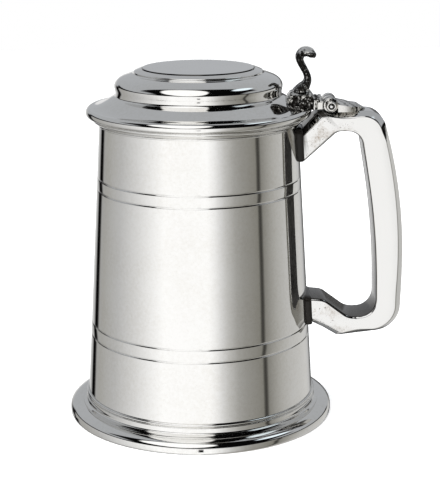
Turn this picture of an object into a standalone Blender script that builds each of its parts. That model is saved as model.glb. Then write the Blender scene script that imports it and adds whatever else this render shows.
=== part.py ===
"""Pewter tankard with a hinged lid: 14 separate pieces on two bodies.

The foot stands on z = 0. The drum's axis is vertical, at x = AXIS_X. The handle points to +X and the
lid turns on a pin that runs along Y. Lengths are in metres.
"""
import math

import bmesh
import bpy
import numpy as np

MM = 0.001

# Clearances
GAP = 0.3 * MM             # left between any two pieces that touch
SWING_GAP = 0.4 * MM       # left between pieces that turn past each other

# Drum and foot
DRUM_BASE_RADIUS = 46.8 * MM
DRUM_MOUTH_RADIUS = 39.6 * MM
DRUM_TOP = 119.2 * MM
DRUM_BOTTOM = 1.0 * MM
DRUM_WALL = 1.5 * MM
LINE_HEIGHTS = (34.0 * MM, 39.1 * MM, 94.1 * MM, 98.7 * MM)
LINE_WIDTH = 0.5 * MM
LINE_DEPTH = 0.25 * MM
FLOOR_BOTTOM = 6.0 * MM
FLOOR_THICKNESS = 1.5 * MM
FOOT_RADIUS = 54.0 * MM
FOOT_HEIGHT = 9.7 * MM
FOOT_EDGE_HEIGHT = 2.9 * MM
FOOT_LAND = 4.0 * MM       # width of the flat ring that rests on the table

# Mouth and lid
MOUTH_BAND_HEIGHT = 3.2 * MM
MOUTH_BAND_FLARE = 2.8 * MM
LID_OVERHANG = 2.4 * MM    # the lid's edge past the mouth band
LID_WALL = 1.4 * MM
LID_EDGE_HEIGHT = 3.7 * MM
NECK_RADIUS = 32.4 * MM
FLANGE_RISE = 4.9 * MM
DOME_RADIUS = 33.3 * MM
DOME_HEIGHT = 10.3 * MM
DISC_RADIUS = 22.1 * MM
DISC_THICKNESS = 1.1 * MM
BEZEL_DEPTH = 3.4 * MM
BEZEL_WALL = 1.2 * MM
BEZEL_CLEARANCE = 0.8 * MM

# Hinge
PIN_BEYOND_LID = 7.3 * MM  # from the lid's edge to the pin's axis
PIN_ABOVE_MOUTH = 4.4 * MM
PIN_RADIUS = 1.2 * MM
KNUCKLE_RADIUS = 3.0 * MM
HINGE_WIDTH = 17.0 * MM
CENTRE_KNUCKLE_WIDTH = 5.4 * MM
LEAF_LENGTH = 14.0 * MM    # from the pin's axis to the leaf's point
LEAF_THICKNESS = 3.2 * MM
LEAF_TIP_THICKNESS = 0.9 * MM
STRAP_WIDTH = 13.0 * MM
STRAP_BASE_LENGTH = 10.0 * MM
STRAP_HEIGHT = 5.2 * MM    # top of the strap's base above the pin's axis
THUMB_HEIGHT = 16.8 * MM
THUMB_THICKNESS = 2.7 * MM
THUMB_WIDTH = 13.0 * MM

# Handle
HANDLE_REACH = 82.0 * MM   # from the drum's axis to the back of the handle
HANDLE_WIDTH = 17.5 * MM
HANDLE_WALL = 2.4 * MM
HANDLE_CHAMFER = 2.3 * MM
HANDLE_CHAMFER_WIDTH = 3.5 * MM
HANDLE_INNER_EDGE = 1.2 * MM
UPPER_JOINT_DROP = 12.6 * MM   # height of the upper joint on the drum
BOW_ABOVE_MIDDLE = 5.5 * MM    # where the back bends most, above the middle of the handle
BACK_BOW_SHARE = 0.75          # share of the back's straight side that its bend takes up
FRONT_BOW_SHARE = 0.634
LOWER_JOINT_HEIGHT = 37.9 * MM
LOWER_JOINT_RISE = 11.0 * MM
PAD_THICKNESS = 1.0 * MM
PAD_MARGIN = 0.7 * MM

TURNED_STEPS = 64
ROUND_STEPS = 24
CORNER_STEPS = 4
SMOOTH_ANGLE = math.radians(35)

# Heights and places that follow from the sizes above
AXIS_X = (FOOT_RADIUS - HANDLE_REACH) / 2
BAND_BOTTOM = DRUM_TOP + GAP
MOUTH_TOP = BAND_BOTTOM + MOUTH_BAND_HEIGHT
BAND_RADIUS = DRUM_MOUTH_RADIUS + MOUTH_BAND_FLARE
LID_BOTTOM = MOUTH_TOP + GAP
LID_RADIUS = BAND_RADIUS + LID_OVERHANG
FLANGE_TOP = LID_BOTTOM + LID_EDGE_HEIGHT + FLANGE_RISE
LID_TOP = FLANGE_TOP + DOME_HEIGHT
PIN_X = LID_RADIUS + PIN_BEYOND_LID
PIN_Z = MOUTH_TOP + PIN_ABOVE_MOUTH
HANDLE_TOP = PIN_Z - KNUCKLE_RADIUS + 0.8 * MM


def drum_radius(z):
    """Outer radius of the drum's straight taper at height z."""
    return DRUM_BASE_RADIUS + (DRUM_MOUTH_RADIUS - DRUM_BASE_RADIUS) * z / DRUM_TOP


def arc(centre, radius, start, end, steps):
    """Points on a circle from angle start to angle end, in degrees."""
    angles = np.radians(np.linspace(start, end, steps + 1))
    return [(centre[0] + radius * math.cos(a), centre[1] + radius * math.sin(a)) for a in angles]


def rounded(corners, steps=CORNER_STEPS):
    """A path through (x, z, radius) corners, with an arc of that radius at each inner corner."""
    points = [np.array(corners[0][:2])]
    for before, corner, after in zip(corners, corners[1:], corners[2:]):
        apex = np.array(corner[:2])
        back = np.array(before[:2]) - apex
        ahead = np.array(after[:2]) - apex
        back /= np.linalg.norm(back)
        ahead /= np.linalg.norm(ahead)
        half = math.acos(np.clip(back @ ahead, -1, 1)) / 2
        middle = apex + (back + ahead) / np.linalg.norm(back + ahead) * corner[2] / math.sin(half)
        first = apex + back * corner[2] / math.tan(half) - middle
        last = apex + ahead * corner[2] / math.tan(half) - middle
        spread = math.pi - 2 * half
        for k in range(steps + 1):
            share = k / steps
            turn = (math.sin((1 - share) * spread) * first + math.sin(share * spread) * last)
            points.append(middle + turn / math.sin(spread))
    points.append(np.array(corners[-1][:2]))
    return [tuple(point) for point in points]


def arc_radius(before, corner, after, share):
    """Radius of the arc in a corner that takes up a share of the corner's shorter side."""
    back = np.array(before[:2]) - np.array(corner[:2])
    ahead = np.array(after[:2]) - np.array(corner[:2])
    lengths = np.linalg.norm(back), np.linalg.norm(ahead)
    half = math.acos(np.clip(back @ ahead / (lengths[0] * lengths[1]), -1, 1)) / 2
    return share * min(lengths) * math.tan(half)


def swollen(profile, by):
    """The (radius, height) profile moved outwards by a distance, along the mean of its sides' normals."""
    points = np.array(profile)
    sides = np.diff(points, axis=0)
    normals = np.stack([sides[:, 1], -sides[:, 0]], axis=1)
    normals /= np.linalg.norm(normals, axis=1)[:, None]
    ends = np.vstack([normals[:1], (normals[:-1] + normals[1:]) / 2, normals[-1:]])
    return [tuple(point) for point in points + by * ends]


def material(name, colour, roughness):
    """A pewter finish."""
    finish = bpy.data.materials.new(name)
    finish.use_nodes = True
    shader = finish.node_tree.nodes["Principled BSDF"]
    shader.inputs["Base Color"].default_value = (*colour, 1)
    shader.inputs["Metallic"].default_value = 1
    shader.inputs["Roughness"].default_value = roughness
    return finish


def new_object(name, bm, finish, parent, location):
    """Turn a bmesh whose points are measured from location into a named piece under parent."""
    bmesh.ops.remove_doubles(bm, verts=bm.verts, dist=0.000001)
    bmesh.ops.recalc_face_normals(bm, faces=bm.faces)
    mesh = bpy.data.meshes.new(name)
    bm.to_mesh(mesh)
    bm.free()
    mesh.shade_smooth()
    mesh.set_sharp_from_angle(angle=SMOOTH_ANGLE)
    piece = bpy.data.objects.new(name, mesh)
    bpy.context.collection.objects.link(piece)
    piece.parent = parent
    piece.location = location
    if finish:
        mesh.materials.append(finish)
    return piece


def turned(name, profile, finish, parent, location=(0, 0, 0)):
    """Spin a closed (radius, height) section about the Z axis."""
    bm = bmesh.new()
    verts = [bm.verts.new((r, 0, z)) for r, z in profile]
    edges = [bm.edges.new(pair) for pair in zip(verts, verts[1:] + verts[:1])
             if max(pair[0].co.x, pair[1].co.x) > 0]
    bmesh.ops.spin(bm, geom=verts + edges, cent=(0, 0, 0), axis=(0, 0, 1), angle=math.tau,
                   steps=TURNED_STEPS, use_merge=True)
    return new_object(name, bm, finish, parent, location)


def loft(rings, bore=None):
    """Join rings of points into a tube with closed ends, or with open ends on a bore."""
    bm = bmesh.new()
    skins = []
    for skin in [rings] + ([bore] if bore else []):
        loops = [[bm.verts.new(point) for point in ring] for ring in skin]
        for one, two in zip(loops, loops[1:]):
            for k in range(len(one)):
                after = (k + 1) % len(one)
                bm.faces.new((one[k], one[after], two[after], two[k]))
        skins.append(loops)
    for end in (0, -1):
        if bore:
            outer, inner = skins[0][end], skins[1][end]
            for k in range(len(outer)):
                after = (k + 1) % len(outer)
                bm.faces.new((outer[k], outer[after], inner[after], inner[k]))
        else:
            bm.faces.new(skins[0][end])
    return bm


def slab(outline, half_width):
    """A side outline of (x, z) points made into a slab across Y."""
    return loft([[(x, y, z) for x, z in outline] for y in (-half_width, half_width)])


def rod(radius, half_length):
    """A round rod along Y, centred on the origin."""
    circle = arc((0, 0), radius, 0, 360, ROUND_STEPS)[:-1]
    return slab(circle, half_length)


def cutter(name, bm, parent, location=(0, 0, 0)):
    """A shape that only cuts or joins other pieces."""
    tool = new_object(name, bm, None, parent, location)
    hide(tool)
    return tool


def hide(tool):
    """Keep a cutting shape out of the finished model."""
    tool.hide_render = True
    tool.display_type = "WIRE"


def combine(piece, tool, operation):
    """Cut a tool out of a piece, or join it on."""
    step = piece.modifiers.new(tool.name, "BOOLEAN")
    step.operation = operation
    step.object = tool
    step.solver = "EXACT"


def empty(name, parent, location):
    """A frame for the pieces that share it."""
    frame = bpy.data.objects.new(name, None)
    bpy.context.collection.objects.link(frame)
    frame.parent = parent
    frame.location = location
    return frame


for old in list(bpy.data.objects):
    bpy.data.objects.remove(old, do_unlink=True)

bright = material("polished_pewter", (0.66, 0.65, 0.63), 0.12)
inside = material("satin_pewter", (0.50, 0.49, 0.47), 0.35)
antique = material("antiqued_pewter", (0.30, 0.29, 0.27), 0.30)

body = empty("tankard_axis", None, (AXIS_X, 0, 0))
hinge = empty("lid_hinge_axis", body, (PIN_X, 0, PIN_Z))


# Drum: a tapered tube with a V line cut at each incised height
outside = [(drum_radius(DRUM_BOTTOM), DRUM_BOTTOM)]
for height in LINE_HEIGHTS:
    for step, depth in ((-LINE_WIDTH / 2, 0), (0, LINE_DEPTH), (LINE_WIDTH / 2, 0)):
        outside.append((drum_radius(height + step) - depth, height + step))
outside.append((drum_radius(DRUM_TOP), DRUM_TOP))
bore = [(drum_radius(z) - DRUM_WALL, z) for z in (DRUM_TOP, DRUM_BOTTOM)]
turned("drum", outside + bore, bright, body)

# Floor: a disc across the drum, above the table
floor_top = FLOOR_BOTTOM + FLOOR_THICKNESS
floor_radius = drum_radius(floor_top) - DRUM_WALL - GAP
turned("drum_floor", [(0, FLOOR_BOTTOM), (floor_radius, FLOOR_BOTTOM), (floor_radius, floor_top),
                      (0, floor_top)], inside, body)

# Foot: a reed and a hollow curve at the top, then a swelling curve down to an upright edge
reed_top = drum_radius(FOOT_HEIGHT) + GAP
reed_radius = 0.75 * MM
hollow_end = (FOOT_RADIUS - 5.2 * MM, FOOT_HEIGHT - 4.2 * MM)
reed = arc((reed_top, FOOT_HEIGHT - reed_radius), reed_radius, 90, -60, 4)
flare = [(hollow_end[0] + (FOOT_RADIUS - hollow_end[0]) * math.sin(a),
          FOOT_EDGE_HEIGHT + (hollow_end[1] - FOOT_EDGE_HEIGHT) * math.cos(a))
         for a in np.radians(np.linspace(0, 90, 6))]
hollow = [(reed[-1][0] + (hollow_end[0] - reed[-1][0]) * (1 - math.cos(a)),
           hollow_end[1] + (reed[-1][1] - hollow_end[1]) * (1 - math.sin(a)))
          for a in np.radians(np.linspace(20, 70, 3))]
socket = [(drum_radius(z) + GAP, z) for z in (DRUM_BOTTOM, FOOT_HEIGHT)]
under = [(FOOT_RADIUS - 0.3 * MM, 0), (FOOT_RADIUS - FOOT_LAND, 0),
         (FOOT_RADIUS - FOOT_LAND - 1.0 * MM, DRUM_BOTTOM)]
turned("foot_ring", socket[::-1][:1] + reed[1:] + hollow + flare + under + socket[:1], bright, body)

# Mouth band: a small bead, then a flare up to the lip
band_bore = drum_radius(DRUM_TOP) - DRUM_WALL
bead = arc((DRUM_MOUTH_RADIUS, BAND_BOTTOM + 0.5 * MM), 0.5 * MM, -90, 50, 3)
lip = [(DRUM_MOUTH_RADIUS + MOUTH_BAND_FLARE * (0.18 + 0.82 * math.sin(a)),
        BAND_BOTTOM + 1.0 * MM + (MOUTH_BAND_HEIGHT - 1.6 * MM) * (1 - math.cos(a)))
       for a in np.radians(np.linspace(10, 90, 4))]
lip.append((BAND_RADIUS, MOUTH_TOP))
turned("mouth_band", [(band_bore, BAND_BOTTOM)] + bead + lip + [(band_bore, MOUTH_TOP)], bright, body)


# Lid shell: rounded edge, rising flange, neck, dome and the rim round the top disc
edge_middle = LID_BOTTOM + LID_EDGE_HEIGHT / 2
edge = [(LID_RADIUS - 2.2 * MM, LID_BOTTOM), (LID_RADIUS - 0.7 * MM, LID_BOTTOM + 0.4 * MM),
        (LID_RADIUS, edge_middle - 0.4 * MM), (LID_RADIUS - 0.1 * MM, edge_middle + 0.5 * MM),
        (LID_RADIUS - 1.1 * MM, LID_BOTTOM + LID_EDGE_HEIGHT)]
flange_bend = FLANGE_TOP - FLANGE_RISE * 0.45
flange = [(LID_RADIUS - 5.6 * MM, LID_BOTTOM + LID_EDGE_HEIGHT + FLANGE_RISE * 0.28),
          (NECK_RADIUS + 3.8 * MM, flange_bend), (NECK_RADIUS + 0.3 * MM, FLANGE_TOP)]
dome_middle = FLANGE_TOP + 1.6 * MM
dome_top = LID_TOP - 2.1 * MM
dome_end = DISC_RADIUS + 5.0 * MM
dome = [(NECK_RADIUS, FLANGE_TOP + 0.4 * MM), (DOME_RADIUS - 0.2 * MM, dome_middle - 0.7 * MM)]
dome_swell, dome_rise = DOME_RADIUS - dome_end, dome_top - dome_middle
dome += [(dome_end + dome_swell * math.cos(a), dome_middle + dome_rise * math.sin(a))
         for a in np.radians(np.linspace(0, 90, 6))]
rim = [(dome_end - 0.4 * MM, LID_TOP - 1.9 * MM), (DISC_RADIUS + 3.3 * MM, LID_TOP - 1.2 * MM),
       (DISC_RADIUS + 1.8 * MM, LID_TOP - 0.2 * MM), (DISC_RADIUS + GAP + 0.3 * MM, LID_TOP)]
lid_outside = edge + flange + dome + rim
bezel_radius = band_bore - BEZEL_CLEARANCE
seat_top = LID_TOP - DISC_THICKNESS - GAP
seat = [(DISC_RADIUS + GAP, LID_TOP - 0.2 * MM), (DISC_RADIUS + GAP, seat_top), (0, seat_top)]
lid_inside = [(0, seat_top - LID_WALL), (DISC_RADIUS + 1.0 * MM, seat_top - LID_WALL),
              (dome_end - 1.0 * MM, seat_top - LID_WALL - 1.4 * MM),
              (DOME_RADIUS - LID_WALL, dome_middle + 2.0 * MM),
              (NECK_RADIUS - LID_WALL, FLANGE_TOP + 0.3 * MM),
              (NECK_RADIUS - LID_WALL, FLANGE_TOP - LID_WALL),
              (NECK_RADIUS + 3.0 * MM, flange_bend - LID_WALL),
              (bezel_radius + GAP, LID_BOTTOM + 2.2 * MM), (bezel_radius + GAP, LID_BOTTOM)]
lid_origin = (-PIN_X, 0, -PIN_Z)
turned("lid_shell", lid_outside + seat + lid_inside, bright, hinge, lid_origin)

# Top disc: a flat plate let into the lid
turned("lid_disc", [(0, LID_TOP - DISC_THICKNESS), (DISC_RADIUS, LID_TOP - DISC_THICKNESS),
                    (DISC_RADIUS, LID_TOP - 0.2 * MM), (DISC_RADIUS - 0.3 * MM, LID_TOP), (0, LID_TOP)],
       bright, hinge, lid_origin)

# Bezel: a ring under the lid that drops into the mouth
bezel_top = LID_BOTTOM + 1.6 * MM
turned("lid_bezel", [(bezel_radius - BEZEL_WALL, LID_BOTTOM - BEZEL_DEPTH),
                     (bezel_radius, LID_BOTTOM - BEZEL_DEPTH), (bezel_radius, bezel_top),
                     (bezel_radius - BEZEL_WALL, bezel_top)], inside, hinge, lid_origin)


# Hinge pin and the bores round it
new_object("hinge_pin", rod(PIN_RADIUS, HINGE_WIDTH / 2), bright, hinge, (0, 0, 0))
pin_hole = cutter("pin_hole", rod(PIN_RADIUS + GAP, HINGE_WIDTH), hinge)

# Hinge leaf: a pointed plate on the handle's top, joined to the two outer knuckles
leaf_bottom = HANDLE_TOP + GAP - PIN_Z
leaf_top = leaf_bottom + LEAF_THICKNESS
leaf_plan = [(0, 1), (KNUCKLE_RADIUS * 0.9, 1), (LEAF_LENGTH * 0.55, 0.98), (LEAF_LENGTH * 0.78, 0.66),
             (LEAF_LENGTH * 0.93, 0.30), (LEAF_LENGTH, 0.06)]
leaf_start = KNUCKLE_RADIUS * 0.9


def leaf_height(x):
    """Top of the leaf: level at the knuckles, then a straight slope down to its point."""
    share = max(0, (x - leaf_start) / (LEAF_LENGTH - leaf_start))
    return leaf_top - (LEAF_THICKNESS - LEAF_TIP_THICKNESS) * share


leaf_rings = []
for x, share in leaf_plan:
    half = HINGE_WIDTH / 2 * share
    top = leaf_height(x)
    leaf_rings.append([(x, -half, leaf_bottom), (x, half, leaf_bottom), (x, half, top), (x, -half, top)])
leaf = new_object("hinge_leaf", loft(leaf_rings), antique, hinge, (0, 0, 0))
leaf_knuckles = cutter("leaf_knuckles", rod(KNUCKLE_RADIUS, HINGE_WIDTH / 2), hinge)
knuckle_room = cutter("knuckle_room", rod(KNUCKLE_RADIUS + 2 * SWING_GAP, CENTRE_KNUCKLE_WIDTH / 2 + GAP),
                      hinge)
combine(leaf, leaf_knuckles, "UNION")
combine(leaf, knuckle_room, "DIFFERENCE")
combine(leaf, pin_hole, "DIFFERENCE")

# Strap: a base on the lid's flange, an arm and the centre knuckle
base_start = -PIN_BEYOND_LID - STRAP_BASE_LENGTH + 0.6 * MM
arm_end = -KNUCKLE_RADIUS - SWING_GAP
arm_bottom = HANDLE_TOP + 2 * SWING_GAP - PIN_Z
arm_top = KNUCKLE_RADIUS + 0.4 * MM
base_end = -PIN_BEYOND_LID + 0.2 * MM
strap_side = [(base_start, -4.0 * MM), (base_end + 0.7 * MM, -2.6 * MM), (arm_end, arm_bottom),
              (arm_end, arm_top), (base_end + 1.2 * MM, arm_top), (base_end, STRAP_HEIGHT),
              (base_start + 1.4 * MM, STRAP_HEIGHT), (base_start, STRAP_HEIGHT - 1.6 * MM)]
strap = new_object("lid_strap", slab(strap_side, STRAP_WIDTH / 2), antique, hinge, (0, 0, 0))
arm = [(arm_end - 1.0 * MM, -KNUCKLE_RADIUS * 0.55), (0, -KNUCKLE_RADIUS * 0.75),
       (0, KNUCKLE_RADIUS * 0.9), (arm_end - 1.0 * MM, KNUCKLE_RADIUS)]
strap_arm = cutter("strap_arm", slab(arm, CENTRE_KNUCKLE_WIDTH / 2), hinge)
centre_knuckle = cutter("centre_knuckle", rod(KNUCKLE_RADIUS, CENTRE_KNUCKLE_WIDTH / 2), hinge)
lid_room_profile = swollen([(0, LID_BOTTOM - 6.0 * MM), (LID_RADIUS - 3.0 * MM, LID_BOTTOM - 6.0 * MM)]
                           + lid_outside + [(0, LID_TOP)], GAP + 0.1 * MM)
lid_room_profile[0] = (0, lid_room_profile[0][1])
lid_room_profile[-1] = (0, lid_room_profile[-1][1])
lid_room = turned("lid_room", lid_room_profile, None, hinge, lid_origin)
hide(lid_room)
combine(strap, strap_arm, "UNION")
combine(strap, centre_knuckle, "UNION")
combine(strap, lid_room, "DIFFERENCE")
combine(strap, pin_hole, "DIFFERENCE")

# Thumbpiece: an S-curved ribbon that rises from the strap's base and curls back over the hinge.
# Each station is its share of the way from the pin's axis to the dome, its share of the height, of the
# thickness and of the top's width.
thumb_stations = [(0.612, 0, 3.2, 0.80), (0.564, 0.09, 2.1, 0.74), (0.489, 0.21, 1.25, 0.66),
                  (0.479, 0.36, 0.95, 0.56), (0.543, 0.54, 0.9, 0.50), (0.612, 0.71, 0.95, 0.52),
                  (0.638, 0.86, 1, 0.66), (0.580, 0.975, 1, 0.88), (0.473, 1, 1, 1),
                  (0.388, 0.94, 0.85, 0.94), (0.356, 0.86, 0.4, 0.80)]
thumb_base = STRAP_HEIGHT + GAP
thumb_room = PIN_X - DOME_RADIUS
thumb_middle = np.array([(-thumb_room * along, thumb_base + (THUMB_HEIGHT - THUMB_THICKNESS / 2) * share)
                         for along, share, _, _ in thumb_stations])
thumb_heading = np.gradient(thumb_middle, axis=0)
thumb_heading[:2] = ((0, 1), (0.15 * MM, 1 * MM))
thumb_heading /= np.linalg.norm(thumb_heading, axis=1)[:, None]
thumb_rings = []
for middle, heading, (_, _, thick, wide) in zip(thumb_middle, thumb_heading, thumb_stations):
    ring = []
    for across, through in arc((0, 0), 1, 22.5, 382.5, 8)[:-1]:
        depth = through * thick * THUMB_THICKNESS / 2
        ring.append((middle[0] + heading[1] * depth, across * wide * THUMB_WIDTH / 2,
                     middle[1] - heading[0] * depth))
    thumb_rings.append(ring)
new_object("thumbpiece", loft(thumb_rings), antique, hinge, (0, 0, 0))


# Handle: a hollow square bow, from the drum's mouth out over the hinge, down and back to the drum
def joint_x(z):
    """Distance from the drum's axis to the handle's end at height z."""
    return drum_radius(z) + PAD_THICKNESS + 2 * GAP


upper_top = DRUM_TOP - PAD_MARGIN - 0.5 * MM
upper_bottom = upper_top - UPPER_JOINT_DROP
lower_bottom = LOWER_JOINT_HEIGHT
lower_top = lower_bottom + LOWER_JOINT_RISE
lower_x = joint_x(lower_bottom)
bow_middle = (HANDLE_TOP + lower_bottom) / 2 + BOW_ABOVE_MIDDLE
back_bow = ((HANDLE_REACH - 9.6 * MM, HANDLE_TOP), (HANDLE_REACH + 0.8 * MM, bow_middle),
            (HANDLE_REACH - 0.6 * MM, lower_bottom - 2.6 * MM))
front_bow = ((HANDLE_REACH - 18.1 * MM, HANDLE_TOP - 8.0 * MM),
             (HANDLE_REACH - 11.2 * MM, bow_middle - 9.7 * MM),
             (HANDLE_REACH - 10.5 * MM, lower_bottom + 3.1 * MM))
back = [(joint_x(upper_top), upper_top, 0),
        (PIN_X - 4.9 * MM, HANDLE_TOP, 3 * MM),
        (*back_bow[0], 8 * MM),
        (*back_bow[1], arc_radius(*back_bow, BACK_BOW_SHARE)),
        (*back_bow[2], 11 * MM),
        (lower_x + 10.3 * MM, lower_bottom - 5.7 * MM, 3 * MM),
        (lower_x + 4.5 * MM, lower_bottom - 2.2 * MM, 20 * MM),
        (lower_x, lower_bottom, 0)]
front = [(joint_x(upper_bottom), upper_bottom, 0),
         (PIN_X + 2.7 * MM, HANDLE_TOP - 7.6 * MM, 5 * MM),
         (*front_bow[0], 6 * MM),
         (*front_bow[1], arc_radius(*front_bow, FRONT_BOW_SHARE)),
         (*front_bow[2], 7 * MM),
         (lower_x + 14.6 * MM, lower_bottom + 3.0 * MM, 8 * MM),
         (lower_x + 4.5 * MM, lower_top - 0.5 * MM, 6 * MM),
         (joint_x(lower_top), lower_top, 0)]


def handle_rings(inset):
    """Sections across the bow, each an eight-sided outline from the inner face to the chamfered back."""
    half = HANDLE_WIDTH / 2 - inset
    rings = []
    for near, far in zip(np.array(rounded(front)), np.array(rounded(back))):
        through = (far - near) / np.linalg.norm(far - near)
        near, far = near + through * inset, far - through * inset
        chamfer = HANDLE_CHAMFER * half / (HANDLE_WIDTH / 2)
        flat = half - HANDLE_CHAMFER_WIDTH * half / (HANDLE_WIDTH / 2)
        side = [(near, half - HANDLE_INNER_EDGE), (near + through * HANDLE_INNER_EDGE, half),
                (far - through * chamfer, half), (far, flat)]
        side += [(point, -y) for point, y in side[::-1]]
        rings.append([(point[0], y, point[1]) for point, y in side])
    return rings


handle = new_object("handle", loft(handle_rings(0), handle_rings(HANDLE_WALL)), bright, body, (0, 0, 0))
cradle = cutter("cradle", rod(KNUCKLE_RADIUS + SWING_GAP, HANDLE_WIDTH), hinge)
combine(handle, cradle, "DIFFERENCE")

# Pads: thin plates between the handle's ends and the drum, hollowed to the drum's curve
drum_room = turned("drum_room", [(0, 0), (drum_radius(0) + GAP, 0), (drum_radius(DRUM_TOP) + GAP, DRUM_TOP),
                                 (0, DRUM_TOP)], None, body)
hide(drum_room)
for name, bottom, top in (("handle_pad_upper", upper_bottom, upper_top),
                          ("handle_pad_lower", lower_bottom, lower_top)):
    low, high = bottom - PAD_MARGIN, top + PAD_MARGIN
    faces = [(joint_x(z) - GAP, z) for z in (low, high)]
    deep = [(x - 4 * PAD_THICKNESS, z) for x, z in faces[::-1]]
    pad = new_object(name, slab(faces + deep, HANDLE_WIDTH / 2 + PAD_MARGIN), bright, body, (0, 0, 0))
    combine(pad, drum_room, "DIFFERENCE")
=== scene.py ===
import math
import bmesh
import bpy
import numpy as np
from mathutils import Matrix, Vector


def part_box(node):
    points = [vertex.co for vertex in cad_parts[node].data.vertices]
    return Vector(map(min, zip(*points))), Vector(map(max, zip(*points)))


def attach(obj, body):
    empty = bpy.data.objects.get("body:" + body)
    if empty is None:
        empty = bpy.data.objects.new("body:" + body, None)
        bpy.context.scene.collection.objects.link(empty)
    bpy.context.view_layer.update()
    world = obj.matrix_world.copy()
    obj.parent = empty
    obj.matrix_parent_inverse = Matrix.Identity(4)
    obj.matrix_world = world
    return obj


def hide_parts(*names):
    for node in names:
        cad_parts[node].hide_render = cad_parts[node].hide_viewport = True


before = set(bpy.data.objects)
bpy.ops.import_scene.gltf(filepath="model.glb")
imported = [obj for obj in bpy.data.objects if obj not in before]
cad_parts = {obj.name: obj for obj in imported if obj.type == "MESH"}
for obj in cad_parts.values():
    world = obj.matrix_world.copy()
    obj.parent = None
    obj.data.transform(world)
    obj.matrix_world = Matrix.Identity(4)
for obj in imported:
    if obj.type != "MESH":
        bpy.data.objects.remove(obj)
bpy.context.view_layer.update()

MM = 0.001


# Drum: the body of the tankard, a sheet of pewter spun over a tapered chuck, then polished bright.
# Two pairs of fine lines are cut into it while it still turns on the lathe, near the mouth and near the foot.
def flow(points, steps=10):
    """A smooth run through control points: a uniform cubic B-spline, its end points trebled so it starts
    and stops on them. Each point is a blend of four neighbours, weighted by cubics in t that add up to 6."""
    p = np.array(points, float)
    p = np.vstack([p[:1], p[:1], p, p[-1:], p[-1:]])
    t = np.linspace(0, 1, steps, endpoint=False)[:, None]
    weights = ((1 - t) ** 3, 3 * t ** 3 - 6 * t ** 2 + 4, -3 * t ** 3 + 3 * t ** 2 + 3 * t + 1, t ** 3)
    spans = [sum(w * p[i + k] for k, w in enumerate(weights)) / 6 for i in range(len(p) - 3)]
    return np.vstack(spans + [p[-1:]])


def skin(name, grid, finish, body, nodes, sharp=32, caps=False):
    """A surface through a grid of points, rows along and columns around, joined by a face between each four.
    Columns wrap round, and rows wrap too unless the ends are capped with flat faces."""
    rows, columns = grid.shape[:2]
    index = np.arange(rows * columns).reshape(rows, columns)
    beside = np.roll(index, -1, axis=1)
    if caps:
        faces = np.stack([index[:-1], index[1:], beside[1:], beside[:-1]], axis=-1).reshape(-1, 4).tolist()
        faces += [index[0].tolist(), index[-1][::-1].tolist()]
    else:
        ahead, across = np.roll(index, -1, axis=0), np.roll(beside, -1, axis=0)
        faces = np.stack([index, ahead, across, beside], axis=-1).reshape(-1, 4).tolist()
    mesh = bpy.data.meshes.new(name)
    mesh.from_pydata(grid.reshape(-1, 3).tolist(), [], faces)
    return finished(name, mesh, finish, body, nodes, sharp)


def finished(name, mesh, finish, body, nodes, sharp=32):
    """Close the mesh's poles, turn its faces outwards, give it its finish and set it on its body."""
    bm = bmesh.new()
    bm.from_mesh(mesh)
    touching, flattened = 0.002 * MM, 0.0005 * MM
    bmesh.ops.remove_doubles(bm, verts=bm.verts, dist=touching)
    bmesh.ops.dissolve_degenerate(bm, edges=bm.edges, dist=flattened)
    bmesh.ops.recalc_face_normals(bm, faces=bm.faces)
    bm.to_mesh(mesh)
    bm.free()
    mesh.shade_smooth()
    mesh.set_sharp_from_angle(angle=math.radians(sharp))
    piece = bpy.data.objects.new(name, mesh)
    bpy.context.collection.objects.link(piece)
    mesh.materials.append(finish)
    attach(piece, body)
    if nodes:
        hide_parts(*nodes)
    return piece


def turned(name, section, finish, body, nodes, sharp=32):
    """A closed (radius, height) section carried round the drum's axis: x = radius cos a, y = radius sin a."""
    section = np.array(section, float)
    facets = 288
    a = np.linspace(0, math.tau, facets, endpoint=False)
    radius, height = section[:, :1], section[:, 1:]
    grid = np.stack([axis_x + radius * np.cos(a), radius * np.sin(a), height + 0 * a], axis=-1)
    return skin(name, grid, finish, body, nodes, sharp)


def mark_patina_and_shade(piece, values):
    """Store a darkness for each point of a piece, from 0 for bright metal to 1 for black: patina in cuts and
    joints, and painted shade where a piece's function gives it.
    """
    attribute = piece.data.attributes.new("patina_and_shade", "FLOAT", "POINT")
    attribute.data.foreach_set("value", np.clip(values(points_of(piece)), 0, 1).astype(np.float32))


def points_of(piece):
    """A piece's points, in metres."""
    co = np.zeros(len(piece.data.vertices) * 3, np.float32)
    piece.data.vertices.foreach_get("co", co)
    return co.reshape(-1, 3).astype(float)


def straight(*points):
    """A run of straight lines through points, each cut in half."""
    p = np.array(points, float)
    t = np.array([[0], [0.5]])
    return np.vstack([a + (b - a) * t for a, b in zip(p, p[1:])] + [p[-1:]])


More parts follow.
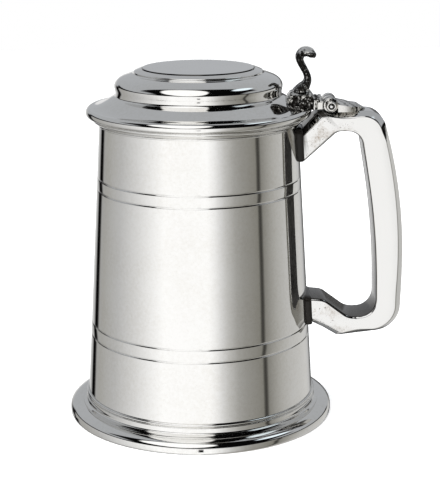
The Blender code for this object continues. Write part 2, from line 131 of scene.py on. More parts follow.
class Finish:
    """A material's node tree, with short ways to add nodes to it."""

    def __init__(self, name, colour, roughness):
        self.material = bpy.data.materials.new(name)
        self.material.use_nodes = True
        self.tree = self.material.node_tree
        self.shader = self.tree.nodes["Principled BSDF"]
        self.shader.inputs["Metallic"].default_value = 1
        self.shader.inputs["Base Color"].default_value = (*colour, 1)
        self.shader.inputs["Roughness"].default_value = roughness

    def node(self, kind, **settings):
        """A node, with sockets filled from settings: plain values, or (node, output) links."""
        made = self.tree.nodes.new(kind)
        for key, value in settings.items():
            if key.startswith("in_"):
                key = key[3:]
                socket = made.inputs[int(key) if key.isdigit() else key.replace("_", " ")]
                self.feed(socket, value)
            else:
                setattr(made, key, value)
        return made

    def feed(self, socket, value):
        """Set a socket, or link it to a node's first output or to a named one."""
        if isinstance(value, bpy.types.Node):
            value = (value, 0)
        if isinstance(value, tuple) and isinstance(value[0], bpy.types.Node):
            self.tree.links.new(value[0].outputs[value[1]], socket)
        else:
            socket.default_value = value

    def place(self):
        """Object coordinates measured from the drum's axis."""
        coordinates = self.node("ShaderNodeTexCoord")
        return self.node("ShaderNodeVectorMath", operation="SUBTRACT", in_0=(coordinates, "Object"),
                         in_1=(axis_x, 0, 0))

    def noise(self, where, size, detail=3.0, roughness=0.55):
        """Cloudy noise whose grains are about the given size across."""
        return self.node("ShaderNodeTexNoise", in_Vector=where, in_Scale=1 / size, in_Detail=detail,
                         in_Roughness=roughness)

    def ramp(self, value, *stops):
        """A colour ramp of (place, colour) stops over a value."""
        made = self.node("ShaderNodeValToRGB", in_Fac=value)
        while len(made.color_ramp.elements) < len(stops):
            made.color_ramp.elements.new(0.5)
        for element, (at, colour) in zip(made.color_ramp.elements, stops):
            element.position = at
            element.color = (*colour, 1)
        return made

    def span(self, value, low, high, start=0.0, end=1.0):
        """The value's range low to high carried to start to end, and held there."""
        return self.node("ShaderNodeMapRange", in_Value=value, in_1=low, in_2=high, in_3=start, in_4=end)

    def blend(self, share, one, two):
        """A colour mix: one where the share is 0, two where it is 1. The colour sockets are 6 and 7."""
        made = self.node("ShaderNodeMix", data_type="RGBA")
        self.feed(made.inputs[0], share)
        self.feed(made.inputs[6], one)
        self.feed(made.inputs[7], two)
        return (made, 2)

    def sum(self, one, two, operation="ADD"):
        """Arithmetic on two values."""
        return self.node("ShaderNodeMath", operation=operation, in_0=one, in_1=two)

    def bump(self, height, distance, under=None):
        """A bump from a height field, on top of another bump if there is one."""
        made = self.node("ShaderNodeBump", in_Height=height, in_Distance=distance, in_Strength=1.0)
        if under:
            self.tree.links.new(under.outputs[0], made.inputs["Normal"])
        return made

    def use(self, **inputs):
        """Link or set the shader's own sockets."""
        for key, value in inputs.items():
            self.feed(self.shader.inputs[key.replace("_", " ")], value)
        return self.material


drum_low, drum_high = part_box("drum")
axis_x = (drum_low.x + drum_high.x) / 2
pewter_tint = (0.79, 0.785, 0.77)
# Black for patina in cuts and joints, and for painted shade on the handle, its pads, the pin and the
# knuckles.
black_patina_and_shade = (0.02, 0.018, 0.016, 1)


def bright_pewter(name, ripple, smut, lines):
    """Mirror pewter: faint waves left by the buff, fine turning lines round the axis, a breath of smut."""
    f = Finish(name, pewter_tint, 0.06)
    where = f.place()
    cloud = f.noise(where, 19 * MM, 4)
    specks = f.noise(where, 1.3 * MM, 2)
    parts = f.node("ShaderNodeSeparateXYZ", in_0=where)
    rings = f.node("ShaderNodeCombineXYZ", in_2=(parts, 2))
    turning = f.noise(rings, 0.35 * MM, 3, 0.7)
    tarnish = f.span(f.sum(cloud, specks, "MULTIPLY"), 0.16, 0.42, 0, smut)
    clean = f.blend(tarnish, (*pewter_tint, 1), (0.60, 0.57, 0.51, 1))
    cuts = f.node("ShaderNodeAttribute", attribute_name="patina_and_shade")
    colour = f.blend((cuts, "Fac"), clean, black_patina_and_shade)
    rough = f.span(f.sum(specks, f.sum(turning, 0.5, "MULTIPLY")), 0.5, 1.0, 0.035, 0.075)
    waves = f.bump(f.noise(where, 26 * MM, 2), 0.05 * MM * ripple)
    fine = f.bump(turning, 0.0012 * MM * lines, waves)
    return f.use(Base_Color=colour, Roughness=rough, Normal=fine)


polished = bright_pewter("polished_pewter", 1.0, 0.25, 1.0)
drum_wall = 1.5 * MM
base_radius = (drum_high.x - drum_low.x) / 2
band_low, band_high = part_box("mouth_band")
bore_low, bore_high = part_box("lid_bezel")
mouth_radius = (bore_high.x - bore_low.x) / 2 + 0.8 * MM + drum_wall
drum_bottom, drum_top = drum_low.z, band_low.z
line_heights = (34.0 * MM, 39.1 * MM, 94.1 * MM, 98.7 * MM)
line_half, line_depth = 0.34 * MM, 0.22 * MM


def drum_radius(z):
    """The straight taper from the drum's foot to its mouth."""
    return base_radius + (mouth_radius - base_radius) * (z - drum_bottom) / (drum_top - drum_bottom)


outside = [(drum_radius(drum_bottom), drum_bottom)]
for height in line_heights:
    for share, depth in ((-1.5, 0), (-1, 0.1), (-0.4, 0.85), (0, 1), (0.4, 0.85), (1, 0.1), (1.5, 0)):
        z = height + share * line_half
        outside.append((drum_radius(z) - depth * line_depth, z))
outside.append((drum_radius(drum_top), drum_top))
inside = [(drum_radius(z) - drum_wall, z) for z in (drum_top, drum_bottom)]
turned("drum_body", outside + inside, polished, "tankard", ["drum"], sharp=50)


# Floor: a pewter disc soldered across the drum a little above the table.
# It keeps the lathe's fine rings, which show from below and when the lid is open.
def satin_pewter(name):
    """Pewter left from the lathe: soft rings round the axis under a dull grey cast."""
    f = Finish(name, (0.55, 0.54, 0.52), 0.3)
    where = f.place()
    flat = f.node("ShaderNodeVectorMath", operation="MULTIPLY", in_0=where, in_1=(1, 1, 0))
    radius = f.node("ShaderNodeVectorMath", operation="LENGTH", in_0=flat)
    parts = f.node("ShaderNodeSeparateXYZ", in_0=where)
    rings = f.node("ShaderNodeCombineXYZ", in_0=(radius, "Value"), in_2=(parts, 2))
    turning = f.noise(rings, 0.6 * MM, 4, 0.7)
    cloud = f.noise(where, 14 * MM, 4)
    colour = f.blend(cloud, (0.58, 0.57, 0.55, 1), (0.42, 0.41, 0.385, 1))
    return f.use(Base_Color=colour, Roughness=f.span(turning, 0.3, 0.7, 0.24, 0.4),
                 Normal=f.bump(turning, 0.01 * MM))


satin = satin_pewter("satin_pewter")
floor_low, floor_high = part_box("drum_floor")
floor_radius = drum_radius(floor_low.z) - drum_wall
turned("floor_disc", np.vstack([straight((0, floor_low.z), (floor_radius, floor_low.z)),
                                flow([(floor_radius, floor_high.z + 1.2 * MM),
                                      (floor_radius - 1.0 * MM, floor_high.z + 0.1 * MM),
                                      (floor_radius - 3 * MM, floor_high.z)]),
                                [(0, floor_high.z)]]), satin, "tankard", ["drum_floor"])


# Foot: a turned ring that the drum is soldered into. From the top it has a small reed, a hollow,
# a fillet, a full round flare and an upright edge, and it stands on a narrow flat land.
foot_low, foot_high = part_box("foot_ring")
foot_radius = (foot_high.x - foot_low.x) / 2


def foot(inward, height):
    """A point on the foot's section: millimetres in from its widest edge, and above the table."""
    return foot_radius - inward * MM, height * MM


foot_top = foot_high.z / MM
reed = [(drum_radius(foot_high.z) + 0.02 * MM, foot_high.z - 0.1 * MM)]
reed += [foot(*p) for p in ((7.55, foot_top - 0.02), (7.05, foot_top - 0.12), (6.85, foot_top - 0.75),
                            (7.1, foot_top - 1.3), (7.35, foot_top - 1.5))]
hollow = [foot(*p) for p in ((7.35, 8.2), (7.1, 8.1), (7.05, 7.6), (7.03, 7.0), (7.0, 6.4), (6.9, 5.9),
                             (6.5, 5.65), (5.9, 5.55), (5.4, 5.5))]
flare = [foot(*p) for p in ((5.4, 5.1), (4.5, 5.2), (3.1, 5.05), (1.3, 4.4), (0.25, 3.5), (0.0, 2.4))]
edge = [foot(*p) for p in ((0.0, 2.4), (0.0, 1.4), (0.05, 0.5), (0.45, 0.0))]
under = [foot(*p) for p in ((0.45, 0.0), (4.0, 0.0))] + [(drum_radius(drum_bottom), drum_bottom)]
turned("foot_moulding", np.vstack([flow(reed, 8), flow(hollow, 8), flow(flare, 10), flow(edge, 6)[1:],
                                   straight(*under)[1:]]),
       polished, "tankard", ["foot_ring"], sharp=38)


# Mouth band: the turned lip of the drum, soldered on and polished with it.
# It is a small bead and then a flare that the lid closes on.
band_radius = (band_high.x - band_low.x) / 2
band_bore = mouth_radius - drum_wall
bead = [(mouth_radius, drum_top)]
bead += [(mouth_radius + out * MM, drum_top + up * MM) for out, up in
         ((0.35, 0.05), (0.55, 0.4), (0.5, 0.8), (0.35, 1.0))]
lip = [(mouth_radius + 0.35 * MM, drum_top + 1.0 * MM), (mouth_radius + 1.1 * MM, drum_top + 1.15 * MM),
       (mouth_radius + 2.1 * MM, drum_top + 1.8 * MM), (band_radius - 0.1 * MM, band_high.z - 0.9 * MM),
       (band_radius, band_high.z - 0.3 * MM), (band_radius - 0.3 * MM, band_high.z)]
turned("mouth_lip", np.vstack([[(band_bore, drum_top)], flow(bead, 6), flow(lip, 8)[1:],
                               flow([(band_bore + 0.6 * MM, band_high.z), (band_bore, band_high.z),
                                     (band_bore, band_high.z - 0.6 * MM)], 5)]),
       polished, "tankard", ["mouth_band"])


# Pads: the thin plates cast with the handle's ends and filed to the drum's curve, where the solder runs.
# They are painted black all over with no shine of metal, a painted shade for the shadowed corner round them.
pad_front = 1.3 * MM


def pad_sheet(name, node):
    """A rounded rectangle wrapped on the drum: the drum's curve behind and a flat face in front.
    Its outline is y = half width * cos a and z = half height * sin a, each with its sine or cosine raised
    to a small power, which squares it off."""
    low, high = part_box(node)
    half_y, half_z = high.y, (high.z - low.z) / 2
    middle_z = (low.z + high.z) / 2
    facets, squareness = 96, 0.28
    a = np.linspace(0, math.tau, facets, endpoint=False)
    y = half_y * np.sign(np.cos(a)) * np.abs(np.cos(a)) ** squareness
    z = middle_z + half_z * np.sign(np.sin(a)) * np.abs(np.sin(a)) ** squareness
    rings = []
    for share, proud in ((0.0, 0), (1.0, 0), (1.0, 0.5), (0.985, 0.75), (0.95, 0.95), (0.9, 1.0), (0.0, 1.0)):
        ry, rz = y * share, middle_z + (z - middle_z) * share
        behind = axis_x + np.sqrt(drum_radius(rz) ** 2 - ry ** 2)
        front = axis_x + drum_radius(rz) + pad_front
        rings.append(np.stack([behind + (front - behind) * proud, ry, rz], axis=-1))
    return skin(name, np.stack(rings), tarnished_and_shaded, "tankard", [node])


def tarnished_shaded_pewter(name, smut_start, smut_end):
    """Cast pewter, buffed but not spun: slow waves, small pits and warm smut that gathers near its joints.
    Where the mark attribute nears 1 it's painted shade: black, with no shine of metal."""
    tint = tuple(0.9 * part for part in pewter_tint)
    f = Finish(name, tint, 0.1)
    where = f.place()
    parts = f.node("ShaderNodeSeparateXYZ", in_0=where)
    near = f.span((parts, 0), smut_start, smut_end, 1, 0)
    cloud = f.noise(where, 7 * MM, 5, 0.65)
    specks = f.noise(where, 0.9 * MM, 3, 0.7)
    stain = f.sum(f.span(cloud, 0.50, 0.68), near, "MULTIPLY")
    stain = f.sum(stain, f.span(specks, 0.42, 0.62, 0.35, 1), "MULTIPLY")
    pits = f.span(f.noise(where, 0.7 * MM, 1), 0.70, 0.76)
    pits = f.sum(pits, near, "MULTIPLY")
    worn = f.blend(stain, (*tint, 1), (0.33, 0.27, 0.21, 1))
    pitted = f.blend(pits, worn, (0.10, 0.085, 0.07, 1))
    # Painted shade from the mark attribute: it turns the colour black here.
    crook = f.node("ShaderNodeAttribute", attribute_name="patina_and_shade")
    colour = f.blend((crook, "Fac"), pitted, black_patina_and_shade)
    rough = f.sum(f.span(cloud, 0.3, 0.7, 0.05, 0.11), f.sum(stain, 0.16, "MULTIPLY"))
    waves = f.bump(f.noise(where, 9 * MM, 2), 0.06 * MM)
    dents = f.bump(f.span(specks, 0.3, 0.7), 0.004 * MM, waves)
    # Metallic falls where the painted shade is black, so that part mirrors nothing.
    bare = f.span((crook, "Fac"), 0.8, 0.95, 1, 0.1)
    return f.use(Base_Color=colour, Metallic=bare, Specular_IOR_Level=0.15, Roughness=rough, Normal=dents)


handle_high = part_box("handle")[1]
tarnished_and_shaded = tarnished_shaded_pewter("tarnished_shaded_pewter", 46 * MM, 66 * MM)
upper_pad = pad_sheet("joint_pad_upper", "handle_pad_upper")
lower_pad = pad_sheet("joint_pad_lower", "handle_pad_lower")


# Handle: a hollow casting, a square bow with a flat inner face, flat sides and bevelled back edges.
# Its ends are soldered to the pads, and its top is filed to a cradle under the hinge.
# A corner of its outline is (distance from the drum's axis, height, fillet radius in millimetres).
def filleted(corners, radii, steps, closed):
    """Corners rounded by arcs: each arc touches both sides at radius / tan(half angle) from the corner."""
    before = np.roll(corners, 1, axis=-2)
    after = np.roll(corners, -1, axis=-2)
    back = before - corners
    ahead = after - corners
    back /= np.linalg.norm(back, axis=-1, keepdims=True)
    ahead /= np.linalg.norm(ahead, axis=-1, keepdims=True)
    half = np.arccos(np.clip((back * ahead).sum(-1), -1, 1))[..., None] / 2
    bisector = (back + ahead) / np.linalg.norm(back + ahead, axis=-1, keepdims=True)
    radii = np.array(radii, float)[:, None]
    middle = corners + bisector * radii / np.sin(half)
    first = corners + back * radii / np.tan(half) - middle
    last = corners + ahead * radii / np.tan(half) - middle
    spread = math.pi - 2 * half
    runs = []
    for share in np.linspace(0, 1, steps + 1):
        turn = np.sin((1 - share) * spread) * first + np.sin(share * spread) * last
        runs.append(middle + turn / np.sin(spread))
    points = np.stack(runs, axis=-2)
    if not closed:
        points = points[..., 1:-1, :, :]
    flat = points.reshape(*points.shape[:-3], -1, 2)
    if closed:
        return flat
    return np.concatenate([corners[:1], flat, corners[-1:]])


def evened(path, other, most):
    """Two matched paths with extra points on their long straight runs, so no step is longer than most."""
    ends = [0]
    for k in range(len(path) - 1):
        length = max(np.linalg.norm(path[k + 1] - path[k]), np.linalg.norm(other[k + 1] - other[k]))
        count = max(1, math.ceil(length / most))
        ends += [k + (j + 1) / count for j in range(count)]
    at = np.array(ends)
    steps = np.arange(len(path))
    return [np.stack([np.interp(at, steps, p[:, c]) for c in (0, 1)], axis=-1) for p in (path, other)]


pin_low, pin_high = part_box("hinge_pin")
pin_x = (pin_low.x + pin_high.x) / 2 - axis_x
pin_z = (pin_low.z + pin_high.z) / 2
reach = handle_high.x - axis_x
top = handle_high.z
upper_low, upper_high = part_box("handle_pad_upper")
lower_low, lower_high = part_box("handle_pad_lower")
pad_margin = 0.7 * MM
upper_bottom, upper_top = upper_low.z + pad_margin, upper_high.z - pad_margin
lower_bottom, lower_top = lower_low.z + pad_margin, lower_high.z - pad_margin
lower_x = drum_radius(lower_bottom) + pad_front
bow_middle = (top + lower_bottom) / 2 + 5.5 * MM
back_corners = [(drum_radius(upper_top) + pad_front, upper_top, 0), (pin_x - 4.9 * MM, top, 3),
                (reach - 9.6 * MM, top, 8), (reach + 0.8 * MM, bow_middle, 200),
                (reach - 0.6 * MM, lower_bottom - 2.6 * MM, 11),
                (lower_x + 10.3 * MM, lower_bottom - 5.7 * MM, 2.2),
                (lower_x + 4.5 * MM, lower_bottom - 2.2 * MM, 20), (lower_x, lower_bottom, 0)]
front_corners = [(drum_radius(upper_bottom) + pad_front, upper_bottom, 0),
                 (pin_x + 2.7 * MM, top - 7.6 * MM, 5), (reach - 18.1 * MM, top - 8 * MM, 6),
                 (reach - 11.2 * MM, bow_middle - 9.7 * MM, 300),
                 (reach - 10.5 * MM, lower_bottom + 3.1 * MM, 7),
                 (lower_x + 14.6 * MM, lower_bottom + 3.0 * MM, 8),
                 (lower_x + 4.5 * MM, lower_top - 0.5 * MM, 6),
                 (drum_radius(lower_top) + pad_front, lower_top, 0)]
handle_half = handle_high.y
bevel, bevel_width = 2.3 * MM, 3.5 * MM


def outline(corners, steps=14):
    """The bow's side outline through (x, z, radius in millimetres) corners."""
    c = np.array(corners, float)
    return filleted(c[:, :2].copy(), c[:, 2] * MM, steps, False)


front_line, back_line = evened(outline(front_corners), outline(back_corners), 1.6 * MM)
through = back_line - front_line
depth = np.linalg.norm(through, axis=1)
through = through / depth[:, None]
flat = handle_half - bevel_width
bevel_start = depth - bevel
section = np.stack([np.stack([0 * depth, 0 * depth - handle_half], axis=-1),
                    np.stack([0 * depth, 0 * depth + handle_half], axis=-1),
                    np.stack([bevel_start, 0 * depth + handle_half], axis=-1),
                    np.stack([depth, 0 * depth + flat], axis=-1),
                    np.stack([depth, 0 * depth - flat], axis=-1),
                    np.stack([bevel_start, 0 * depth - handle_half], axis=-1)], axis=1)
section = filleted(section, [1.1 * MM, 1.1 * MM, 0.8 * MM, 0.6 * MM, 0.6 * MM, 0.8 * MM], 6, True)
across, width = section[..., 0], section[..., 1]
bow_x = front_line[:, None, 0] + through[:, None, 0] * across
bow_z = front_line[:, None, 1] + through[:, None, 1] * across
bow_x = np.minimum(bow_x, reach)
cradle = 3.35 * MM
off = bow_x - pin_x
dip = pin_z - np.sqrt(np.clip(cradle ** 2 - off ** 2, 0, None))
bow_z = np.where((np.abs(off) < cradle) & (bow_z > dip) & (bow_z > top - 3 * MM), dip, bow_z)
bow = skin("handle_bow", np.stack([axis_x + bow_x, width, bow_z], axis=-1), tarnished_and_shaded, "tankard", ["handle"],
           sharp=35, caps=True)


def bow_painted_shade(points):
    """Painted shade, from 0 to 1: on the inner face, along the top of the arm under the hinge,
    fading out 1 to 3 mm below its edge, and along the underside of the lower arm."""
    x, z = points[:, 0] - axis_x, points[:, 2]
    samples = 1500
    steps = np.linspace(0, len(front_line) - 1, samples)
    places = np.arange(len(front_line))
    dense = np.stack([np.interp(steps, places, front_line[:, c]) for c in (0, 1)], axis=-1)
    apart = np.array([np.hypot(dense[:, 0] - px, dense[:, 1] - pz).min() for px, pz in zip(x, z)])
    inner = 0.95 * (apart < 0.25 * MM)
    arm_start, arm_bend = back_corners[0][0], back_corners[1][0]
    arm_top = np.interp(x, [arm_start, arm_bend], [upper_top, top])
    deep = np.interp(x, [arm_start, arm_bend, pin_x + 3 * MM], [3.4 * MM, 2.6 * MM, 1.2 * MM])
    above_arm = np.clip((z - arm_top + deep) / (0.5 * MM), 0, 1)
    crook = above_arm * np.clip((pin_x + 3.5 * MM - x) / (1.5 * MM), 0, 1)
    arm_under = lower_bottom - np.interp((x - lower_x) / MM, [0, 4.5, 10.3, 22], [0, 2.2, 5.7, 4.4]) * MM
    below_arm = np.clip((arm_under + 2.0 * MM - z) / (0.8 * MM), 0, 1)
    under = below_arm * np.clip((lower_x + 15 * MM - x) / (3 * MM), 0, 1)
    return np.maximum(np.maximum(inner, crook), 0.8 * under)


# Painted shade on the bow: its inner face, the top of the arm under the hinge and the lower arm's underside.
mark_patina_and_shade(bow, bow_painted_shade)
# Both pads wholly black: painted shade.
mark_patina_and_shade(upper_pad, lambda p: 1 + 0 * p[:, 2])
mark_patina_and_shade(lower_pad, lambda p: 1 + 0 * p[:, 2])


# Hinge leaf: a cast leaf on top of the handle, with the hinge's two outer knuckles on its broad end.
# It's chased with a midrib and side veins, and dark patina is left in the cuts.
def antiqued_pewter(name):
    """Cast and chased pewter: bright where the buff reaches, black where the patina stays in the recesses,
    and black too where the mark holds painted shade on the knuckles' lower side.
    """
    bright_below, black_above = 0.42, 0.62
    f = Finish(name, (0.42, 0.41, 0.39), 0.2)
    where = f.place()
    cuts = f.node("ShaderNodeAttribute", attribute_name="patina_and_shade")
    grain = f.noise(where, 0.8 * MM, 4, 0.65)
    cloud = f.noise(where, 2.6 * MM, 3)
    hidden = f.sum((cuts, "Fac"), f.span(grain, 0.35, 0.65, -0.3, 0.3))
    hidden = f.sum(hidden, f.span(cloud, 0.35, 0.65, -0.2, 0.2))
    dark = f.span(hidden, bright_below, black_above)
    colour = f.blend(dark, (0.66, 0.65, 0.625, 1), black_patina_and_shade)
    rough = f.span(dark, 0, 1, 0.13, 0.42)
    return f.use(Base_Color=colour, Roughness=rough, Normal=f.bump(grain, 0.05 * MM))


antiqued_and_shaded = antiqued_pewter("antiqued_pewter")
knuckle = (pin_high.x - pin_low.x) / 2 + 1.8 * MM
hinge_half = pin_high.y
centre_half = 2.7 * MM
hinge_gap = 0.3 * MM


def knuckle_ring(name, start, end, radius, nodes, body, boss=0.0):
    """A hinge knuckle: a rod along the pin, its radius falling by a quarter circle at each shoulder.
    A boss, if given, is that long a nose of two thirds the radius on the near end."""
    side = np.linspace(0, 1, 7) * math.pi / 2
    shoulder = 0.4 * MM
    hole = (pin_high.x - pin_low.x) / 2 + 0.12 * MM
    shape = [(start, hole)]
    if boss:
        nose = radius * 0.66
        shape += [(start + shoulder * (1 - math.cos(k)), nose - shoulder * (1 - math.sin(k))) for k in side]
        neck = ((0.72, 1), (0.8, 0.88), (0.9, 0.9))
        shape += [(start + boss * along, nose * share) for along, share in neck]
        start = start + boss
    shape += [(start + shoulder * (1 - math.cos(k)), radius - shoulder * (1 - math.sin(k))) for k in side]
    shape += [(end - shoulder * (1 - math.cos(k)), radius - shoulder * (1 - math.sin(k))) for k in side[::-1]]
    shape = np.array(shape + [(end, hole)])
    a = np.linspace(0, math.tau, 72, endpoint=False)
    y, r = shape[:, :1], shape[:, 1:]
    grid = np.stack([axis_x + pin_x + r * np.cos(a), y + 0 * a, pin_z + r * np.sin(a)], axis=-1)
    piece = skin(name, grid, antiqued_and_shaded, body, nodes)
    groove = start - boss * 0.15
    # Black patina at the shoulder groove; the lower side near the middle joint is darkened as painted shade.
    mark_patina_and_shade(piece, lambda p: 0.2 + 0.7 * (np.abs(p[:, 1] - groove) < 0.35 * MM)
                + 0.5 * (np.abs(p[:, 1]) < 3.4 * MM) * (p[:, 2] < pin_z + 1.5 * MM))
    return piece


def casting(name, upper, lower, bulge, body, nodes):
    """A casting between two grids. Its side walls are rows from edge to edge, pushed out by a bulge, which is
    a function of the place along and the share down the wall."""
    down = np.linspace(0, 1, 14)[1:-1]
    walls = []
    for side in (-1, 0):
        rows = [upper[:, side] + (lower[:, side] - upper[:, side]) * share for share in down]
        wall = np.stack(rows, axis=1)
        wall[..., 1] += np.sign(wall[..., 1]) * bulge(wall[..., 0] - axis_x, down[None, :])
        walls.append(wall)
    ring = np.concatenate([upper, walls[0], lower[:, ::-1], walls[1][:, ::-1]], axis=1)
    return skin(name, ring, antiqued_and_shaded, body, nodes, sharp=50, caps=True)


leaf_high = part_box("hinge_leaf")[1]
leaf_start = pin_x + 2.6 * MM
leaf_tip = leaf_high.x - axis_x


def leaf_plan(s):
    """Half the leaf's width at share s of its length: full, then pulled in to a point."""
    return hinge_half * np.clip(1 - s ** 3.2, 0, 1) ** 0.8


s = np.concatenate([np.linspace(0, 0.9, 46), 1 - 0.1 * (1 - np.linspace(0, 1, 16)[1:]) ** 2])
t = np.linspace(-1, 1, 61)
S, T = np.meshgrid(s, t, indexing="ij")
leaf_x = leaf_start + (leaf_tip - leaf_start) * S
leaf_y = leaf_plan(S) * T
seat = top - 0.05 * MM
rise = 3.4 * MM * (1 - S) ** 0.75 + 0.3 * MM
crown = 1 - 0.2 * np.abs(T) ** 4
veins = 0.09 * MM * np.sin(math.tau * (S * 3.4 - np.abs(T) * 0.9)) * (0.2 + np.abs(T)) * (1 - np.abs(T) ** 6)
rib = 0.3 * MM * np.exp(-(leaf_y / (0.6 * MM)) ** 2) * (1 - S)
curl = 0.5 * MM * np.exp(-((S - 0.72) / 0.13) ** 2) * np.abs(T) ** 1.5
leaf_top = seat + rise * crown + (veins + rib) * np.clip(S * 6, 0, 1) + curl
bend = 1.2 * MM * np.clip((leaf_x - (reach - 15.8 * MM)) / (6 * MM), 0, 1) ** 2
upper = np.stack([axis_x + leaf_x, leaf_y, leaf_top - bend], axis=-1)
lower = np.stack([axis_x + leaf_x, leaf_y, np.full_like(leaf_x, seat) - bend], axis=-1)


def leaf_wall(x, share):
    """Scallops on the leaf's far half: a raised wave in step with the length."""
    along = (x - leaf_start) / (leaf_tip - leaf_start)
    wave = np.sin(math.tau * along * 5) * np.sin(math.pi * share)
    return 0.22 * MM * wave * np.clip((along - 0.5) * 6, 0, 1)


leaf = casting("leaf_plate", upper, lower, leaf_wall, "tankard", ["hinge_leaf"])


def leaf_patina(p):
    """Grey on the leaf's top, bright on its near walls, black round the scalloped point."""
    along = (p[:, 0] - axis_x - leaf_start) / (leaf_tip - leaf_start)
    on_wall = np.abs(p[:, 1]) > leaf_plan(np.clip(along, 0, 1)) * 0.985
    scallop = np.clip((along - 0.42) * 8, 0, 1) * (0.55 + 0.35 * np.sin(math.tau * along * 5))
    top_grey = 0.40 + 0.12 * np.sin(math.tau * (along * 3.4 - np.abs(p[:, 1]) / hinge_half * 0.9))
    return np.where(on_wall, scallop, top_grey)


mark_patina_and_shade(leaf, leaf_patina)
knuckle_ring("leaf_knuckle_near", -hinge_half, -centre_half - hinge_gap, knuckle, [], "tankard", 2.8 * MM)
knuckle_ring("leaf_knuckle_far", centre_half + hinge_gap, hinge_half, knuckle, [], "tankard")


# Hinge pin: a drawn wire through the knuckles, its ends peened over into small buttons.
# The buttons are buffed, and a black ring of painted shade is set round each of them.
pin_radius = (pin_high.x - pin_low.x) / 2
button = [(0, 0), (0.3, 0.02), (0.52, 0.1), (0.62, 0.25), (0.66, 0.55), (0.8, 0.6), (0.93, 0.5), (1, 0.3)]
end_y = np.array([depth for _, depth in button]) * MM
end_r = np.array([share for share, _ in button]) * pin_radius
end_y[0], end_r[0] = 0, 0.02 * pin_radius
y = np.concatenate([pin_low.y + end_y, pin_high.y - end_y[::-1]])[:, None]
r = np.concatenate([end_r, end_r[::-1]])[:, None]
a = np.linspace(0, math.tau, 48, endpoint=False)
grid = np.stack([axis_x + pin_x + r * np.cos(a), y + 0 * a, pin_z + r * np.sin(a)], axis=-1)
pin = skin("pin_wire", grid, tarnished_and_shaded, "tankard", ["hinge_pin"], caps=True)
# Painted shade: black round each button's bright centre, with no shine of metal.
mark_patina_and_shade(pin, lambda p: np.hypot(p[:, 0] - axis_x - pin_x, p[:, 2] - pin_z) > 0.64 * pin_radius)


# Lid: a spun and polished shell, with a rolled edge, a flange that rises to a neck, a swelling dome
# and a stepped rim. It is hollow, and the disc, bezel and strap are soldered to it.
lid_low, lid_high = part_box("lid_shell")
lid_bottom, lid_top = lid_low.z, lid_high.z
disc_low, disc_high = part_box("lid_disc")
disc_radius = (disc_high.x - disc_low.x) / 2
lid_wall = 1.4 * MM


def lid(radius, height):
    """A point on the lid's section, from millimetres off the axis and above the lid's lower edge."""
    return radius * MM, lid_bottom + height * MM


rolled = [lid(*p) for p in ((41.9, 0.0), (43.3, 0.0), (44.5, 0.35), (44.8, 1.3), (44.8, 2.2), (44.4, 3.1),
                            (43.6, 3.5))]
flange = [lid(*p) for p in ((43.6, 3.5), (42.3, 3.55), (40.6, 3.93), (39.0, 4.65), (37.5, 5.5), (36.0, 6.4),
                            (34.9, 7.05), (34.0, 7.5), (33.3, 7.85), (32.98, 8.2), (32.9, 8.75))]
dome = [lid(*p) for p in ((32.9, 8.75), (32.88, 9.6), (33.1, 10.6), (33.33, 11.7), (33.25, 12.6),
                          (32.7, 13.7), (31.7, 14.7), (30.2, 15.45), (28.6, 15.95), (27.4, 16.3),
                          (26.7, 16.48))]
step = [lid(*p) for p in ((26.7, 16.48), (26.2, 16.58), (25.8, 16.75), (25.6, 17.05), (25.58, 17.25))]
rim = [lid(*p) for p in ((25.58, 17.25), (25.55, 17.5), (25.25, 17.75), (24.4, 18.05), (23.4, 18.38),
                         (22.6, 18.5))]
seat = [(disc_radius + 0.35 * MM, lid_top - 0.42 * MM), (disc_radius + 0.3 * MM, lid_top - 0.6 * MM),
        (disc_radius + 0.3 * MM, disc_low.z), (0, disc_low.z)]
hidden = [(0, disc_low.z - lid_wall), (disc_radius, disc_low.z - lid_wall)]
under_dome = [lid(*p) for p in ((25.3, 15.1), (28.0, 14.5), (30.2, 13.6), (31.5, 12.2), (31.9, 11.0),
                                (31.4, 10.0), (31.0, 9.3), (31.0, 8.2), (31.6, 7.3), (33.0, 6.5),
                                (35.8, 5.1), (37.2, 3.6), (37.6, 1.2), (37.6, 0.0))]
turned("lid_spun", np.vstack([flow(rolled, 8), flow(flange, 7)[1:], flow(dome, 8)[1:],
                              flow(step, 6)[1:], flow(rim, 6)[1:], seat, hidden, flow(under_dome, 6)]),
       polished, "lid", ["lid_shell"], sharp=40)


# Top disc: a flat round plate let into the top of the lid and soldered from below.
# The joint round its edge holds polish and shows as a fine dark line.
disc_edge = [(disc_radius, disc_low.z), (disc_radius, disc_high.z - 0.1 * MM),
             (disc_radius - 0.1 * MM, disc_high.z), (disc_radius - 0.3 * MM, disc_high.z)]
plate = turned("lid_top_plate", [(0, disc_low.z)] + disc_edge + [(0, disc_high.z)],
               polished, "lid", ["lid_disc"], sharp=60)
mark_patina_and_shade(plate, lambda p: (np.hypot(p[:, 0] - axis_x, p[:, 1]) > disc_radius - 0.12 * MM) * 0.95)


# Bezel: a plain ring soldered under the lid, left as it came from the lathe.
# It drops inside the mouth and keeps the lid centred.
bezel_radius = (bore_high.x - bore_low.x) / 2
bezel_wall = 1.2 * MM
turned("lid_locating_ring", np.vstack([
    flow([(bezel_radius - bezel_wall, bore_low.z + 0.5 * MM), (bezel_radius - bezel_wall, bore_low.z),
          (bezel_radius, bore_low.z), (bezel_radius, bore_low.z + 0.5 * MM)], 6),
    [(bezel_radius, bore_high.z), (bezel_radius - bezel_wall, bore_high.z)]]),
       satin, "lid", ["lid_bezel"])


